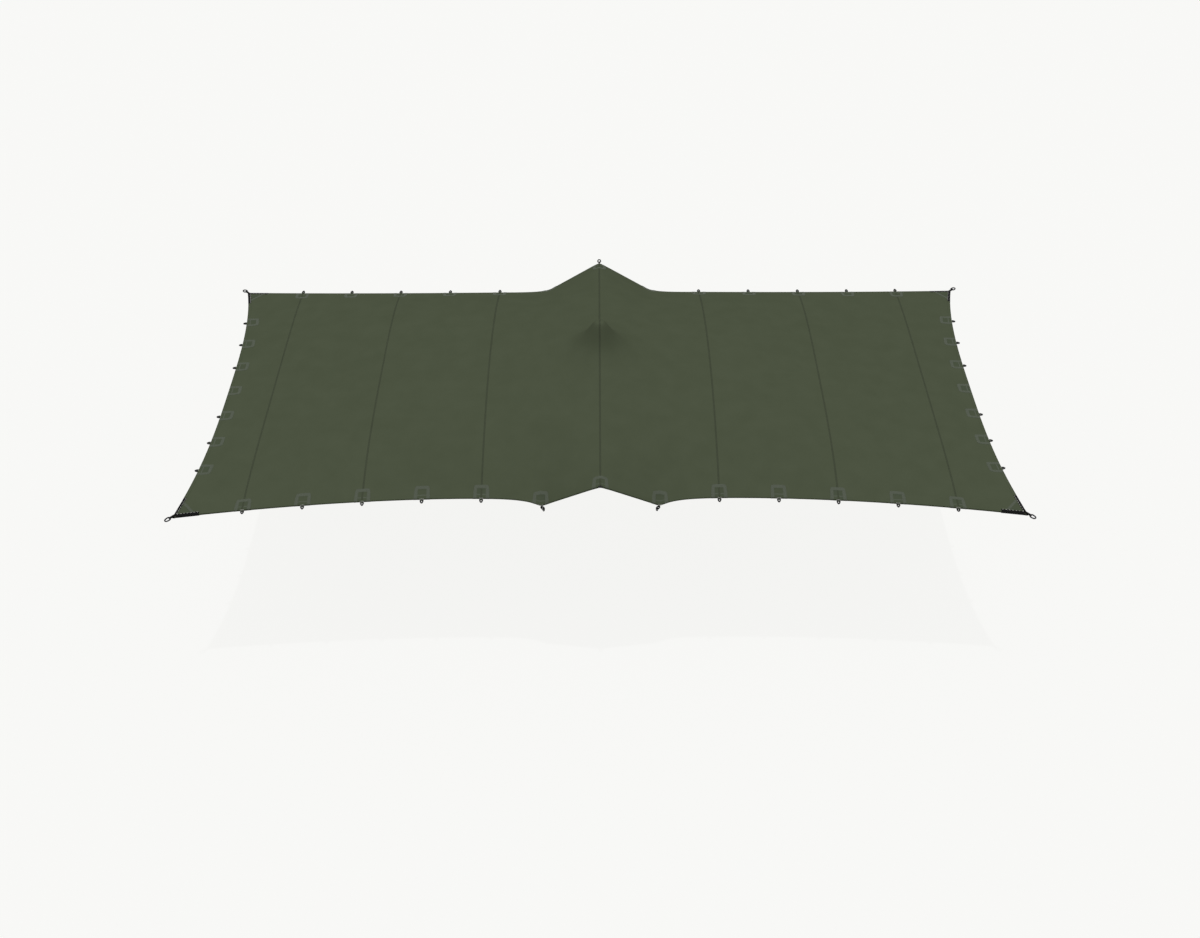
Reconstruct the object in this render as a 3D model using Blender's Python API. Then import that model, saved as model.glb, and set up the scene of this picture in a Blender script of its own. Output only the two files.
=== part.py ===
"""Stretch tent canopy: eight sewn panels drawn up to one centre peak and two raised edge tips.

Metres, +Z up, +X along the long side, +Y to the back. The origin is the middle of the flat
underside of the peak pad, where a pole's head pushes the cloth up.
"""

import math

import bmesh
import bpy
import numpy as np

# Plan of the canopy, as half sizes from its middle
CORNER_X = 5.29
CORNER_Y = 2.515
WAIST_Y = 2.305
WAIST_X = 1.7
WAIST_POWER = 1.9
SIDE_X = 5.085
TIP_REACH = 0.215
TIP_TAPER = 0.135
KINK_FADE = 0.19

# Places of the sewn tabs, counted from the middle of each side
TAB_STEP = 0.740
LONG_TABS = 6
SIDE_STEP = 0.555
SIDE_TABS = 3

# Heights of the cloth above the ground
EDGE_HEIGHT = 2.505
CORNER_DROP = 0.129
FLAT_EDGE_X = 1.3
MIDDLE_RISE = 0.563
SIDE_RISE = 0.037
PEAK_HEIGHT = 3.565
PEAK_FLAT = 0.051
PEAK_SPREAD = 0.19
PEAK_POWER = 1.6
TIP_RISE = 0.345
TIP_ROUND = 0.03
TIP_INNER = 0.38

# Cloth, seams and hems. Touching pairs keep GAP between their faces, or SEAM_GAP beside the
# seams, whose sides twist with the cloth.
GAP = 0.0003
SEAM_GAP = 0.0006
PANEL_HALF = 0.002
SEAM_HALF = 0.0028
SEAM_WIDTH = 0.030
HEM_HALF = 0.0056
HEM_WIDTH = 0.035
PATCH_LOW = 0.0036
PATCH_HIGH = 0.0050
PATCH_HALF_WIDTH = 0.09
PATCH_DEPTH = 0.155
PATCH_ROOT = 0.010

# Corner webbing
STRAP_LENGTH = 0.32
STRAP_WIDTH = 0.044
STRAP_LOW = 0.0064
STRAP_HIGH = 0.0100
TAIL_WIDTH = 0.030
TAIL_HALF = 0.0011
TAIL_REACH = 0.040
TAIL_ROOT = 0.025

# Rings, in the plane of their loop: bar radius, half width and length of the eye's centre line
BAR = 0.0038
TAB_RING_HALF = 0.023
TAB_RING_LENGTH = 0.062
LINK_HALF = 0.024
LINK_LENGTH = 0.056
CORNER_LINK_LENGTH = 0.082
SHACKLE_RADIUS = 0.0235
SHACKLE_BAR = 0.0032
SLEEVE_WALL = 0.0032
SLEEVE_HALF_LENGTH = 0.012
NECK_HALF_WIDTH = 0.010
NECK_HALF = 0.0012
NECK_LENGTH = 0.024
NECK_ROOT = 0.010
TIP_TILT = math.radians(41)
DROP_TILT = math.radians(12)
RING_SIDES = 6

# Pad under the peak
PAD_RADIUS = 0.035
PAD_THICKNESS = 0.008
PAD_SIDES = 24

SEAT_HEIGHT = PEAK_HEIGHT - SEAM_HALF - GAP - PAD_THICKNESS
PEAK_RIDGE = EDGE_HEIGHT + MIDDLE_RISE + SIDE_RISE

# Shared grid lines, so that neighbours' faces run parallel
ACROSS = (0.0143, 0.0362, 0.0684, 0.1167, 0.189, 0.29, 0.40, 0.53, 0.67, 0.81, 0.9376, 1.0)
MIDDLE_LINES = (0.0355, 0.09, 0.17, 0.30, 0.46, 0.65, 0.74, 0.83, 1.0, 1.2)
END_FRACTION = 0.45

CLOTH = ((0.072, 0.087, 0.053), 0.85, 0.0)
SEAM_TAPE = ((0.058, 0.071, 0.042), 0.8, 0.0)
HEM_TAPE = ((0.052, 0.064, 0.038), 0.8, 0.0)
WEBBING = ((0.012, 0.012, 0.013), 0.75, 0.0)
BLACK_STEEL = ((0.02, 0.02, 0.022), 0.45, 0.8)
BRIGHT_STEEL = ((0.45, 0.46, 0.47), 0.3, 1.0)
PAD_CLOTH = ((0.03, 0.034, 0.026), 0.85, 0.0)


def long_edge(x):
    """Distance of the long edge from the middle line: a shallow curve with a pointed tip."""
    x = np.abs(x)
    wing = np.clip((x - WAIST_X) / (CORNER_X - WAIST_X), 0, None) ** WAIST_POWER
    tip = TIP_REACH - TIP_TAPER * np.minimum(x, TAB_STEP)
    fade = np.exp(-np.clip(x - TAB_STEP, 0, None) / KINK_FADE)
    return WAIST_Y + (CORNER_Y - WAIST_Y) * wing + tip * fade


def side_edge(t):
    """Distance of the short edge from the middle line, t running from -1 to 1 along it."""
    return SIDE_X + (CORNER_X - SIDE_X) * np.abs(t) ** 3


def cloth_height(x, y):
    """Height of the cloth: a ridge that sinks outwards, two raised edge tips and a peak."""
    away = np.abs(x)
    t = np.abs(y) / long_edge(x)
    outer = np.clip((away - FLAT_EDGE_X) / (CORNER_X - FLAT_EDGE_X), 0, None)
    edge = EDGE_HEIGHT - CORNER_DROP * outer**1.8
    rise = SIDE_RISE + MIDDLE_RISE * np.clip(1 - (away / SIDE_X) ** 1.2, 0, None) ** 1.35
    squareness = 2 + 1.2 * np.clip((away - 1.2) / 1.8, 0, None) ** 1.3
    wing = edge + rise * (1 - t**squareness)
    slope = TIP_RISE / (np.hypot(TAB_STEP, TIP_ROUND) - TIP_ROUND)
    flank = TIP_RISE - slope * (np.hypot(x, TIP_ROUND) - TIP_ROUND)
    soft = 0.006 + 0.06 * np.clip(1 - t, 0, None)
    tent = soft * np.logaddexp(0, flank / soft)
    tip = tent * np.clip((t - TIP_INNER) / (1 - TIP_INNER), 0, None) ** 1.3
    reach = np.clip(np.hypot(x, y) - PEAK_FLAT, 0, None)
    peak = (PEAK_HEIGHT - PEAK_RIDGE) / (1 + (reach / PEAK_SPREAD) ** PEAK_POWER)
    return wing + tip + peak


def flat_top(x, y, height):
    """The cloth's height, level over the pad."""
    return np.where(np.hypot(x, y) <= PEAK_FLAT, PEAK_HEIGHT, height)


def surface(x, y):
    """Points of the cloth's middle layer in the part's frame."""
    x, y = np.broadcast_arrays(np.asarray(x, float), np.asarray(y, float))
    height = flat_top(x, y, cloth_height(x, y))
    return np.stack([x, y, height - SEAT_HEIGHT], axis=-1)


def normals(x, y, step=0.002):
    """Upward unit normals of the cloth, level over the pad."""
    x, y = np.broadcast_arrays(np.asarray(x, float), np.asarray(y, float))
    across = (cloth_height(x + step, y) - cloth_height(x - step, y)) / (2 * step)
    along = (cloth_height(x, y + step) - cloth_height(x, y - step)) / (2 * step)
    level = np.hypot(x, y) <= PEAK_FLAT
    up = np.stack([np.where(level, 0, -across), np.where(level, 0, -along), np.ones_like(x)], axis=-1)
    return up / np.linalg.norm(up, axis=-1, keepdims=True)


def material(name, finish):
    colour, roughness, metallic = finish
    made = bpy.data.materials.new(name)
    made.use_nodes = True
    shader = made.node_tree.nodes["Principled BSDF"]
    shader.inputs["Base Color"].default_value = (*colour, 1)
    shader.inputs["Roughness"].default_value = roughness
    shader.inputs["Metallic"].default_value = metallic
    return made


def add_object(name, points, faces, finish, helper=False):
    mesh = bpy.data.meshes.new(name)
    corners = [tuple(map(float, point)) for point in points]
    mesh.from_pydata(corners, [], [tuple(map(int, face)) for face in faces])
    outward = bmesh.new()
    outward.from_mesh(mesh)
    bmesh.ops.recalc_face_normals(outward, faces=outward.faces)
    outward.to_mesh(mesh)
    outward.free()
    mesh.materials.append(material(name, finish))
    mesh.shade_smooth()
    mesh.set_sharp_from_angle(angle=math.radians(35))
    made = bpy.data.objects.new(name, mesh)
    bpy.context.scene.collection.objects.link(made)
    if helper:
        made.hide_render = True
        made.display_type = "WIRE"
    return made


def merge(bodies):
    """Joins (points, faces) bodies into one list without welding them."""
    points, faces, first = [], [], 0
    for body_points, body_faces in bodies:
        points.extend(body_points)
        faces.extend([[first + corner for corner in face] for face in body_faces])
        first += len(body_points)
    return points, faces


def slab(x, y, low, high):
    """A closed slab over a grid of plan points, from low to high along the cloth's normal.

    The grid's first index grows with +X or along the edge, its second turns left from it.
    """
    rows, columns = x.shape
    base, up = surface(x, y), normals(x, y)
    points = np.concatenate([(base + up * low).reshape(-1, 3), (base + up * high).reshape(-1, 3)])
    lower = np.arange(rows * columns).reshape(rows, columns)
    upper = lower + rows * columns
    faces = []
    for row in range(rows - 1):
        for column in range(columns - 1):
            first = (row, column), (row + 1, column), (row + 1, column + 1)
            second = (row, column), (row + 1, column + 1), (row, column + 1)
            for half in (first, second):
                faces.append([upper[corner] for corner in half])
                faces.append([lower[corner] for corner in reversed(half)])
    rim = [(row, 0) for row in range(rows)]
    rim += [(rows - 1, column) for column in range(1, columns)]
    rim += [(row, columns - 1) for row in range(rows - 2, -1, -1)]
    rim += [(0, column) for column in range(columns - 2, 0, -1)]
    for here, there in zip(rim, rim[1:] + rim[:1]):
        faces.append([lower[here], lower[there], upper[there], upper[here]])
    return points, faces


def bar(path, radius, closed, sides=RING_SIDES):
    """A bar of polygon section along a flat path of (u, v) points, mitred at each bend."""
    path = np.asarray(path, float)
    ahead = np.roll(path, -1, axis=0) - path
    behind = path - np.roll(path, 1, axis=0)
    if not closed:
        ahead[-1] = behind[-1]
        behind[0] = ahead[0]
    ahead /= np.linalg.norm(ahead, axis=1, keepdims=True)
    behind /= np.linalg.norm(behind, axis=1, keepdims=True)
    along = ahead + behind
    along /= np.linalg.norm(along, axis=1, keepdims=True)
    stretch = 1 / np.sum(along * ahead, axis=1)
    side = np.stack([along[:, 1], -along[:, 0]], axis=1) * stretch[:, None]
    turn = np.arange(sides) * 2 * math.pi / sides
    points = []
    for centre, out in zip(path, side):
        for angle in turn:
            flat = centre + out * radius * math.cos(angle)
            points.append((flat[0], flat[1], radius * math.sin(angle)))
    count = len(path)
    faces = []
    for step in range(count if closed else count - 1):
        near, far = step * sides, (step + 1) % count * sides
        for corner in range(sides):
            after = (corner + 1) % sides
            faces.append([near + corner, near + after, far + after, far + corner])
    if not closed:
        faces.append(list(range(sides))[::-1])
        faces.append([(count - 1) * sides + corner for corner in range(sides)])
    return np.array(points), faces


def sleeve(half_length, inner, wall, sides=RING_SIDES):
    """A tube along u with a through bore, both of the bar's section."""
    turn = np.arange(sides) * 2 * math.pi / sides
    points = []
    for u in (-half_length, half_length):
        for radius in (inner, inner + wall):
            points.extend((u, -radius * math.cos(angle), radius * math.sin(angle)) for angle in turn)
    faces = []
    for corner in range(sides):
        after = (corner + 1) % sides
        bore = [corner, after, 2 * sides + after, 2 * sides + corner]
        skin = [sides + corner, 3 * sides + corner, 3 * sides + after, sides + after]
        left = [corner, sides + corner, sides + after, after]
        right = [2 * sides + corner, 2 * sides + after, 3 * sides + after, 3 * sides + corner]
        faces.extend([bore, skin, left, right])
    return np.array(points), faces


def block(low, high):
    """A box between two (u, v, w) corners."""
    points = [(u, v, w) for u in (low[0], high[0]) for v in (low[1], high[1]) for w in (low[2], high[2])]
    faces = [[0, 1, 3, 2], [4, 6, 7, 5], [0, 4, 5, 1], [2, 3, 7, 6], [0, 2, 6, 4], [1, 5, 7, 3]]
    return np.array(points), faces


def ring_path(half, length, bar_half):
    """An eye with a straight bar at v = 0 and a round far end."""
    right = [
        (bar_half, 0),
        (half, 0.24 * length),
        (half, 0.55 * length),
        (0.72 * half, 0.85 * length),
        (0.26 * half, length),
    ]
    return right + [(-u, v) for u, v in reversed(right)]


class Seat:
    """A local frame on an edge: origin, u along the edge, v the way the ring points, w = u x v."""

    def __init__(self, origin, along, out):
        self.origin = np.asarray(origin, float)
        self.v = out / np.linalg.norm(out)
        along = along - self.v * np.dot(along, self.v)
        self.u = along / np.linalg.norm(along)
        self.w = np.cross(self.u, self.v)

    def place(self, body):
        points, faces = body
        placed = self.origin + points[:, :1] * self.u + points[:, 1:2] * self.v + points[:, 2:3] * self.w
        return placed, faces

    def shifted(self, v):
        return Seat(self.origin + self.v * v, self.u, self.v)


def long_seat(x, sign):
    """The edge frame of a long side at x; sign is -1 in front and 1 at the back."""
    edge = surface(x, sign * long_edge(x))
    step = 0.01
    ahead = surface(x + step, sign * long_edge(x + step))
    behind = surface(x - step, sign * long_edge(x - step))
    along = (ahead - behind) * sign
    up = normals(x, sign * long_edge(x))
    return Seat(edge, along, np.cross(up, along))


def side_seat(y, sign):
    """The edge frame of a short side at y; sign is -1 on the left and 1 on the right."""
    step = 0.01
    edge, ahead, behind = (surface(sign * side_edge(at / CORNER_Y), at) for at in (y, y + step, y - step))
    along = (ahead - behind) * -sign
    up = normals(sign * side_edge(y / CORNER_Y), y)
    return Seat(edge, along, np.cross(up, along))


def inner_y(x):
    return long_edge(x) - HEM_WIDTH - GAP


def inner_x(t):
    return side_edge(t) - HEM_WIDTH - GAP


def across_lines():
    half = np.array(ACROSS)
    return np.concatenate([-half[::-1], [0], half])


def panel_lines():
    """For each panel on the right of the middle, its grid lines from seam to seam."""
    seams = [2 * TAB_STEP * number for number in range(4)]
    inset = SEAM_WIDTH / 2 + SEAM_GAP
    middle = [inset, *MIDDLE_LINES, seams[1] - inset]
    wings = []
    for number in (1, 2):
        start, stop = seams[number] + inset, seams[number + 1] - inset
        tab = (start + stop) / 2
        left, right = tab - PATCH_HALF_WIDTH, tab + PATCH_HALF_WIDTH
        wings.append([start, (start + left) / 2, left, right, (right + stop) / 2, stop])
    return [middle, *wings]


def end_panel_grid():
    """Plan points of the right end panel, from the last seam to the short side's hem."""
    t = across_lines()
    start = 6 * TAB_STEP + SEAM_WIDTH / 2 + SEAM_GAP
    stop = inner_x(t)
    shoulder = stop - PATCH_DEPTH
    columns = [np.full_like(t, start), start + END_FRACTION * (shoulder - start), shoulder, stop]
    x = np.stack(columns)
    return x, t * inner_y(x)


def add_panel(number, x, y, sign):
    if sign < 0:
        x, y = -x[::-1], y[::-1]
    add_object(f"panel_{number}", *slab(x, y, -PANEL_HALF, PANEL_HALF), CLOTH)


def add_panels():
    t = across_lines()
    for step, lines in enumerate(panel_lines()):
        x = np.repeat(np.array(lines)[:, None], len(t), axis=1)
        y = t * inner_y(x)
        add_panel(5 + step, x, y, 1)
        add_panel(4 - step, x, y, -1)
    x, y = end_panel_grid()
    add_panel(8, x, y, 1)
    add_panel(1, x, y, -1)


def add_seams():
    t = across_lines()
    for number in range(-3, 4):
        middle = 2 * TAB_STEP * number
        x = np.repeat(np.array([[middle - SEAM_WIDTH / 2], [middle + SEAM_WIDTH / 2]]), len(t), axis=1)
        add_object(f"seam_{number + 4}", *slab(x, t * inner_y(x), -SEAM_HALF, SEAM_HALF), SEAM_TAPE)


def long_hem_lines():
    """Stations of a long hem: every grid line of the pieces that end at it."""
    half = [0.0]
    for lines in panel_lines():
        half += [float(x) for x in lines]
    half += [2 * TAB_STEP * number + SEAM_WIDTH / 2 * side for number in range(4) for side in (-1, 1)]
    half += [float(x) for x in end_panel_grid()[0][:, -1]]
    half.append(float(side_edge(1)) - HEM_WIDTH)
    half = sorted({round(x, 5) for x in half if x > 0.001})
    return np.array([-x for x in reversed(half)] + [0.0] + half)


def hem_joint():
    """Where a long hem's middle length meets its wings, on a grid line between two tabs."""
    return panel_lines()[1][1]


def long_hem(sign, part):
    """One length of a long hem: part is -1 for the left wing, 0 for the middle, 1 for the right wing."""
    lines = long_hem_lines()
    if part == 0:
        x = lines[np.abs(lines) < hem_joint() + GAP]
    else:
        x = np.array([hem_joint() + GAP, *lines[lines > hem_joint() + GAP]])
    inner, outer = [x, long_edge(x) - HEM_WIDTH], [x, long_edge(x)]
    if part != 0:
        inset = float(side_edge((CORNER_Y - HEM_WIDTH) / CORNER_Y))
        inner = np.append(inner, [[inset], [CORNER_Y - HEM_WIDTH]], axis=1)
        outer = np.append(outer, [[CORNER_X], [CORNER_Y]], axis=1)
    grid = np.array([inner, outer])
    if part < 0:
        grid = grid[:, :, ::-1] * np.array([-1, 1])[None, :, None]
    if sign < 0:
        grid = grid[::-1] * np.array([1, -1])[None, :, None]
    return slab(grid[:, 0].T, grid[:, 1].T, -HEM_HALF, HEM_HALF)


def side_hem(sign):
    t = across_lines()
    outer, inner = side_edge(t), side_edge(t) - HEM_WIDTH
    x = np.stack([inner, outer] if sign > 0 else [-outer, -inner])
    y = t * inner_y(x)
    return slab(x, y, -HEM_HALF, HEM_HALF)


def long_patch(tab, sign):
    """A reinforcing patch on a long side, from inside the hem to the last grid line."""
    lines = long_hem_lines()
    ends = tab - PATCH_HALF_WIDTH, tab + PATCH_HALF_WIDTH
    between = lines[(lines > ends[0] + 0.004) & (lines < ends[1] - 0.004)]
    x = np.array([ends[0], *between, ends[1]])
    stations = np.array([ACROSS[-2] * inner_y(x), inner_y(x), long_edge(x) - HEM_WIDTH + PATCH_ROOT])
    x = np.repeat(x[:, None], 3, axis=1)
    y = stations.T * sign
    if sign < 0:
        x, y = x[:, ::-1], y[:, ::-1]
    return slab(x, y, PATCH_LOW, PATCH_HIGH)


def side_patch(tab, sign):
    """A reinforcing patch on a short side."""
    y = np.linspace(tab - PATCH_HALF_WIDTH, tab + PATCH_HALF_WIDTH, 3)
    t = y / CORNER_Y
    stations = [inner_x(t) - PATCH_DEPTH, inner_x(t), side_edge(t) - HEM_WIDTH + PATCH_ROOT]
    if sign < 0:
        stations = [-station for station in reversed(stations)]
    return slab(np.stack(stations), np.repeat(y[None, :], 3, axis=0), PATCH_LOW, PATCH_HIGH)


def fixed_ring():
    """The loop and ring of an ordinary tab, whose two legs end inside the hem."""
    half, length = TAB_RING_HALF, TAB_RING_LENGTH
    right = [(0.95 * half, -NECK_ROOT), (half, 0.45 * length), (0.35 * half, length)]
    return bar([(-u, v) for u, v in right] + list(reversed(right)), BAR, closed=False)


def loop_neck():
    """Webbing from inside the hem to the sleeve that carries a loose ring."""
    end = NECK_LENGTH - BAR - GAP - SLEEVE_WALL / 2
    return block((-NECK_HALF_WIDTH, 0, -NECK_HALF), (NECK_HALF_WIDTH, end, NECK_HALF))


def loop_sleeve():
    return sleeve(SLEEVE_HALF_LENGTH, BAR + GAP / math.cos(math.pi / RING_SIDES), SLEEVE_WALL)


def tip_seat(sign):
    """The middle tab of a long side: its ring points outwards and up."""
    edge = long_seat(0, sign)
    out = edge.v * math.cos(TIP_TILT) + edge.w * math.sin(TIP_TILT)
    return Seat(edge.origin - edge.v * NECK_ROOT, edge.u, out)


def drop_seat(edge, inwards):
    """A tab whose ring hangs down and a little towards the middle."""
    down = np.array([inwards * math.sin(DROP_TILT), 0, -math.cos(DROP_TILT)])
    return Seat(edge.origin - edge.v * NECK_ROOT, edge.u, down)


def loose_seats():
    """Name and frame of each tab with a separate ring, by the hem that carries it."""
    seats = {}
    for word, sign in (("front", -1), ("back", 1)):
        tabs = [(f"{word}_middle", tip_seat(sign))]
        for side, direction in (("left", -1), ("right", 1)):
            edge = long_seat(direction * TAB_STEP, sign)
            tabs.append((f"{word}_{side}", drop_seat(edge, -direction)))
        seats[f"hem_{word}_middle"] = tabs
    for word, sign in (("left", -1), ("right", 1)):
        seats[f"hem_{word}"] = [(f"{word}_side", drop_seat(side_seat(0, sign), 0))]
    return seats


def unite(target, bodies, name):
    """Joins bodies to the target with an exact union."""
    helper = add_object(name, *merge(bodies), WEBBING, helper=True)
    union = target.modifiers.new(name, "BOOLEAN")
    union.operation = "UNION"
    union.solver = "EXACT"
    union.object = helper


def part_tabs(part):
    """Places of the tabs on one length of a long hem."""
    tabs = [TAB_STEP * number for number in range(-LONG_TABS, LONG_TABS + 1)]
    if part == 0:
        return [tab for tab in tabs if abs(tab) < hem_joint()]
    return [tab for tab in tabs if tab * part > hem_joint()]


def add_hems():
    seats = loose_seats()
    for word, sign in (("front", -1), ("back", 1)):
        for side, part in (("left", -1), ("middle", 0), ("right", 1)):
            hem = add_object(f"hem_{word}_{side}", *long_hem(sign, part), HEM_TAPE)
            tabs = part_tabs(part)
            unite(hem, [long_patch(tab, sign) for tab in tabs], f"{hem.name}_patches")
            rings = [long_seat(tab, sign).place(fixed_ring()) for tab in tabs if abs(tab) > 1.5 * TAB_STEP]
            unite(hem, rings, f"{hem.name}_rings")
            if hem.name in seats:
                add_loops(hem, seats[hem.name])
    for word, sign in (("left", -1), ("right", 1)):
        hem = add_object(f"hem_{word}", *side_hem(sign), HEM_TAPE)
        tabs = [SIDE_STEP * number for number in range(-SIDE_TABS, SIDE_TABS + 1)]
        unite(hem, [side_patch(tab, sign) for tab in tabs], f"{hem.name}_patches")
        rings = [side_seat(tab, sign).place(fixed_ring()) for tab in tabs if abs(tab) > 0.5 * SIDE_STEP]
        unite(hem, rings, f"{hem.name}_rings")
        add_loops(hem, seats[hem.name])


def add_loops(hem, seats):
    """Joins the loops that carry separate rings to the hem."""
    unite(hem, [seat.place(loop_neck()) for _, seat in seats], f"{hem.name}_necks")
    unite(hem, [seat.shifted(NECK_LENGTH).place(loop_sleeve()) for _, seat in seats], f"{hem.name}_sleeves")


def add_loose_rings():
    for seats in loose_seats().values():
        for name, seat in seats:
            path = ring_path(LINK_HALF, LINK_LENGTH, SLEEVE_HALF_LENGTH + 2.4 * BAR)
            hook = seat.shifted(NECK_LENGTH)
            add_object(f"ring_{name}", *hook.place(bar(path, BAR, closed=True)), BLACK_STEEL)
            if name.endswith(("_left", "_right")):
                add_shackle(name, hook)


def add_shackle(name, hook):
    """A round ring that hangs in the far end of a hanging ring, square to it."""
    drop = LINK_LENGTH - BAR - GAP * 1.5 - SHACKLE_BAR + SHACKLE_RADIUS
    centre = hook.origin + hook.v * drop
    turned = Seat(centre, hook.w, hook.v)
    count = 14
    angles = [2 * math.pi * (number + 0.5) / count for number in range(count)]
    path = [(SHACKLE_RADIUS * math.cos(angle), SHACKLE_RADIUS * math.sin(angle)) for angle in angles]
    add_object(f"shackle_{name}", *turned.place(bar(path, SHACKLE_BAR, closed=True)), BRIGHT_STEEL)


def corner_seat(side, end):
    """Frame at a corner: v points outwards along the diagonal, in the plane of the cloth."""
    corner = surface(side * CORNER_X, end * CORNER_Y)
    up = normals(side * (CORNER_X - 0.05), end * (CORNER_Y - 0.05))
    out = np.array([side, end, 0.0]) / math.sqrt(2)
    out = out - up * np.dot(out, up)
    lift = (STRAP_LOW + STRAP_HIGH) / 2
    return Seat(corner + up * lift, np.cross(out, up), out)


def strap_grid(side, end):
    """Plan points of a corner strap: along the long side, round the corner, along the short side."""
    stations = np.linspace(STRAP_LENGTH, 0, 5)[:-1]
    outer_x = [CORNER_X - at for at in stations]
    outer_y = [float(long_edge(x)) for x in outer_x]
    inner_y_long = [y - STRAP_WIDTH for y in outer_y]
    side_y = [CORNER_Y - at for at in reversed(stations)]
    side_x = [float(side_edge(y / CORNER_Y)) for y in side_y]
    inner_x_side = [x - STRAP_WIDTH for x in side_x]
    outer = [*zip(outer_x, outer_y), (CORNER_X, CORNER_Y), *zip(side_x, side_y)]
    mitre = (CORNER_X - STRAP_WIDTH, CORNER_Y - STRAP_WIDTH)
    inner = [*zip(outer_x, inner_y_long), mitre, *zip(inner_x_side, side_y)]
    grid = np.array([outer, inner])
    if side * end > 0:
        grid = grid[:, ::-1]
    return (grid[..., 0] * side).T, (grid[..., 1] * end).T


def add_corners():
    for word, side, end in (
        ("front_left", -1, -1),
        ("front_right", 1, -1),
        ("back_left", -1, 1),
        ("back_right", 1, 1),
    ):
        x, y = strap_grid(side, end)
        strap = add_object(f"corner_strap_{word}", *slab(x, y, STRAP_LOW, STRAP_HIGH), WEBBING)
        seat = corner_seat(side, end)
        tail_end = TAIL_REACH - BAR - GAP - SLEEVE_WALL / 2
        tail = block((-TAIL_WIDTH / 2, -TAIL_ROOT, -TAIL_HALF), (TAIL_WIDTH / 2, tail_end, TAIL_HALF))
        unite(strap, [seat.place(tail)], f"{strap.name}_tail")
        hook = seat.shifted(TAIL_REACH)
        unite(strap, [hook.place(loop_sleeve())], f"{strap.name}_sleeve")
        path = ring_path(LINK_HALF, CORNER_LINK_LENGTH, SLEEVE_HALF_LENGTH + 2.4 * BAR)
        add_object(f"corner_ring_{word}", *hook.place(bar(path, BAR, closed=True)), BRIGHT_STEEL)


def add_peak_pad():
    turn = np.arange(PAD_SIDES) * 2 * math.pi / PAD_SIDES
    rim = [(PAD_RADIUS * math.cos(angle), PAD_RADIUS * math.sin(angle)) for angle in turn]
    points = [(x, y, z) for z in (0, PAD_THICKNESS) for x, y in rim]
    faces = [list(range(PAD_SIDES))[::-1], [PAD_SIDES + corner for corner in range(PAD_SIDES)]]
    for corner in range(PAD_SIDES):
        after = (corner + 1) % PAD_SIDES
        faces.append([corner, after, PAD_SIDES + after, PAD_SIDES + corner])
    add_object("peak_pad", points, faces, PAD_CLOTH)


def main():
    for old in list(bpy.data.objects):
        bpy.data.objects.remove(old)
    add_panels()
    add_seams()
    add_hems()
    add_loose_rings()
    add_corners()
    add_peak_pad()


main()
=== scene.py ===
import math

import bmesh
import bpy
import numpy as np
from mathutils import Matrix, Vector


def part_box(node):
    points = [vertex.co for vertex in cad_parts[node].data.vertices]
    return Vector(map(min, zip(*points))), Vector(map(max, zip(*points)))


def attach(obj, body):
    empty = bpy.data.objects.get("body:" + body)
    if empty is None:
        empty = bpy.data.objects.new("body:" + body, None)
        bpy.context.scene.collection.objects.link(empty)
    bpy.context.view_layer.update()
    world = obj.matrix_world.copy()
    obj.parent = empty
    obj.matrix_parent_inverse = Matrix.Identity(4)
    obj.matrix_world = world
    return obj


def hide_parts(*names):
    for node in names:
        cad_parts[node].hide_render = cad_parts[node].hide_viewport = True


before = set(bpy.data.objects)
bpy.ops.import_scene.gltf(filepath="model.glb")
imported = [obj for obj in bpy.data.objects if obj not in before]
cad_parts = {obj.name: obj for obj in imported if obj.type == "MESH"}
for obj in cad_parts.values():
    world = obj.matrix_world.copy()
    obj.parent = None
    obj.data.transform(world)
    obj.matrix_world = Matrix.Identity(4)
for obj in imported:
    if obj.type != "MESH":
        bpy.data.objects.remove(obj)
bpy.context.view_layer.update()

canopy = {
    "cornerX": 5.29,        # half length at the corners
    "cornerY": 2.515,       # half width at the corners
    "waistY": 2.320,        # half width where the long edges pull in most
    "waistX": 1.7,          # from here to the corners they widen again
    "waistPower": 1.9,
    "sideX": 5.079,         # half length at the middle of the short edges
    "tipReach": 0.215,      # how far the raised tips reach past the waist
    "tipTaper": 0.135,      # how much of that is lost per metre
    "kinkFade": 0.19,
    "edgeHeight": 2.505,    # heights are above the ground
    "cornerDrop": 0.119,
    "dropPower": 1.8,
    "flatEdgeX": 1.3,       # up to here the long edge is level, but for the tips
    "sideRise": 0.037,      # height of the ridge over the edges at the short sides
    "middleRise": 0.563,    # and what it gains towards the middle
    "ridgePower": 1.2,
    "ridgeBow": 1.35,
    "squareFrom": 1.2,      # outwards from here the ridge's cross-section gets squarer
    "squareSpan": 1.8,
    "squareGain": 1.2,
    "squarePower": 1.3,
    "peakHeight": 3.565,
    "peakFlat": 0.051,      # radius of the level spot over the pole's head
    "peakSpread": 0.19,
    "peakPower": 1.6,
    "tipRise": 0.345,
    "tipRound": 0.03,
    "tipInner": 0.38,       # the tips' tents start at this share of the half width
    "tipPower": 1.3,
    "creaseSoft": 0.006,    # roundness of the creases at the tents' feet, at the edge
    "creaseGain": 0.06,     # and what it gains towards the middle
    "tipLift": 0.018,       # corrections at the long edges: up at the tips, down at the tabs beside them
    "dipDrop": 0.032,
    "dipFade": 0.33,
    "liftPower": 7,         # how fast both die out inwards
    "liftLimit": 1.02,
    "tabStep": 0.740,       # spacing of the tabs on the long edges
    "sideStep": 0.555,      # spacing of the tabs on the short edges
    "seamHalf": 0.0028,     # half thickness of the solids' seam, which lies on the pad
    "gap": 0.0003,          # between it and the pad
}
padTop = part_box("peak_pad")[1].z
seatHeight = canopy["peakHeight"] - canopy["seamHalf"] - canopy["gap"] - padTop
floorZ = -seatHeight
peakRidge = canopy["edgeHeight"] + canopy["middleRise"] + canopy["sideRise"]


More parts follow.
